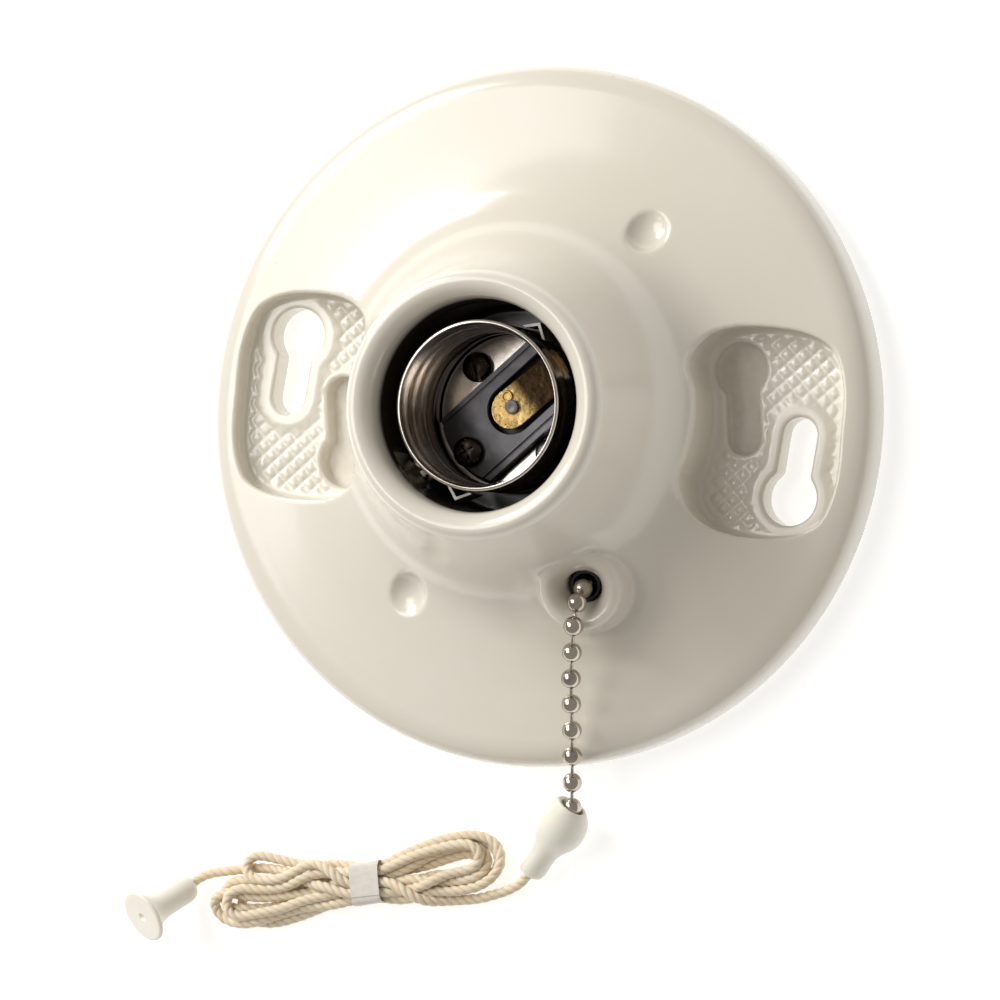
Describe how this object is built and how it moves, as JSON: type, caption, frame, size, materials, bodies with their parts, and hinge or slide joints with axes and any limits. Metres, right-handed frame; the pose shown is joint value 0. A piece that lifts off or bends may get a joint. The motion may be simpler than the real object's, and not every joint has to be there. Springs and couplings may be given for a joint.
{
  "type": "pull cord switch",
  "caption": "Round porcelain ceiling lampholder with a screw socket, keyhole mounting pads and a bead-chain pull switch on a hanked cotton cord.",
  "frame": {"origin": "centre of the round disc, in the plane of its flat back face", "axes": "+Z along the socket axis, out of the socket mouth; +X through the middle of one pair of keyholes; the chain leaves toward -Y"},
  "size_m": [0.1215, 0.1483, 0.0384],
  "materials": {
    "glazed_porcelain": "glossy cream-white glaze",
    "rolled_aluminium": "rolled, satin",
    "nickel_plate": "bright nickel plate",
    "dark_steel": "darkened steel",
    "brass": "stamped, slightly dull",
    "phenolic": "moulded dark slate phenolic",
    "vulcanised_fibre": "dark pressed fibre",
    "bushing_liner": "smooth moulded liner",
    "ivory_plastic": "ivory moulded plastic, satin",
    "cotton_cord": "twisted natural cotton",
    "paper_band": "uncoated off-white paper"
  },
  "bodies": {
    "base": {"porcelain_body": "glazed_porcelain", "chain_bushing": "bushing_liner", "screw_shell": "rolled_aluminium", "bridge_bar": "phenolic", "shell_screw_slotted": "dark_steel", "bar_screw_cross": "dark_steel", "shell_rivet": "rolled_aluminium", "tongue_post": "brass", "hot_terminal": "brass", "hot_terminal_screw": "brass", "neutral_terminal": "nickel_plate", "neutral_terminal_screw": "nickel_plate", "shell_clip_front": "nickel_plate", "shell_clip_rear": "nickel_plate", "switch_case": "phenolic", "case_cover": "vulcanised_fibre", "cover_screw_1": "dark_steel", "cover_screw_2": "dark_steel", "arbor_pin": "dark_steel", "return_spring": "dark_steel", "load_contact": "brass", "pawl": "dark_steel"},
    "contact": {"contact_tongue": "brass", "contact_button": "nickel_plate"},
    "wheel": {"pull_wheel": "phenolic"},
    "rotor": {"ratchet_rotor": "vulcanised_fibre", "contact_blade": "brass"},
    "chain_feed": {"feed_bead_1": "nickel_plate", "feed_bead_2": "nickel_plate", "feed_bead_3": "nickel_plate", "feed_bead_4": "nickel_plate"},
    "chain_throat": {"inner_bead_1": "nickel_plate", "inner_bead_2": "nickel_plate", "inner_bead_3": "nickel_plate", "inner_bead_4": "nickel_plate"},
    "chain_swivel": {"outer_bead_1": "nickel_plate"},
    "chain_hang": {"outer_bead_2": "nickel_plate", "outer_bead_3": "nickel_plate", "outer_bead_4": "nickel_plate", "outer_bead_5": "nickel_plate", "outer_bead_6": "nickel_plate", "outer_bead_7": "nickel_plate", "outer_bead_8": "nickel_plate", "cord_connector": "ivory_plastic", "cord_lead": "cotton_cord", "cord_hank": "cotton_cord", "hank_tie": "paper_band", "cord_tail": "cotton_cord", "cord_pull": "ivory_plastic"}
  },
  "joints": [
    {"name": "chain_pull", "type": "slide", "parent": "base", "child": "chain_throat", "axis": [0.1004, -0.2013, 0.9744], "range_m": [0, 0.008], "stiffness_N_per_m": 60, "springref_m": -0.002},
    {"name": "chain_swing", "type": "hinge", "parent": "chain_throat", "child": "chain_swivel", "pos_m": [0.0143, -0.0299, 0.02], "axis": [0, 0, 1], "range_deg": [-12, 25]},
    {"name": "chain_lift", "type": "hinge", "parent": "chain_swivel", "child": "chain_hang", "pos_m": [0.0142, -0.0337, 0.0204], "axis": [-1, 0, 0], "range_deg": [0, 110]},
    {"name": "chain_feed_run", "type": "slide", "parent": "base", "child": "chain_feed", "axis": [0.6374, -0.7705, 0], "range_m": [0, 0.008]},
    {"name": "wheel_turn", "type": "hinge", "parent": "base", "child": "wheel", "pos_m": [0, 0, 0.0052], "axis": [0, 0, 1], "range_deg": [0, 76]},
    {"name": "rotor_step", "type": "hinge", "parent": "base", "child": "rotor", "pos_m": [0, 0, 0.0088], "axis": [0, 0, 1], "range_deg": [0, 90.5]},
    {"name": "contact_flex", "type": "hinge", "parent": "base", "child": "contact", "pos_m": [0.00709, 0.00699, 0.0185], "axis": [0.7071, -0.7071, 0], "range_deg": [0, 6], "stiffness_Nm_per_rad": 0.05, "springref_deg": -5.73}
  ],
  "couplings": [
    {"joint": "chain_feed_run", "follows": "chain_pull", "ratio": 1},
    {"joint": "wheel_turn", "follows": "chain_pull", "rad_per_m": 163.93},
    {"joint": "rotor_step", "follows": "chain_pull", "rad_per_m": 196.35}
  ]
}
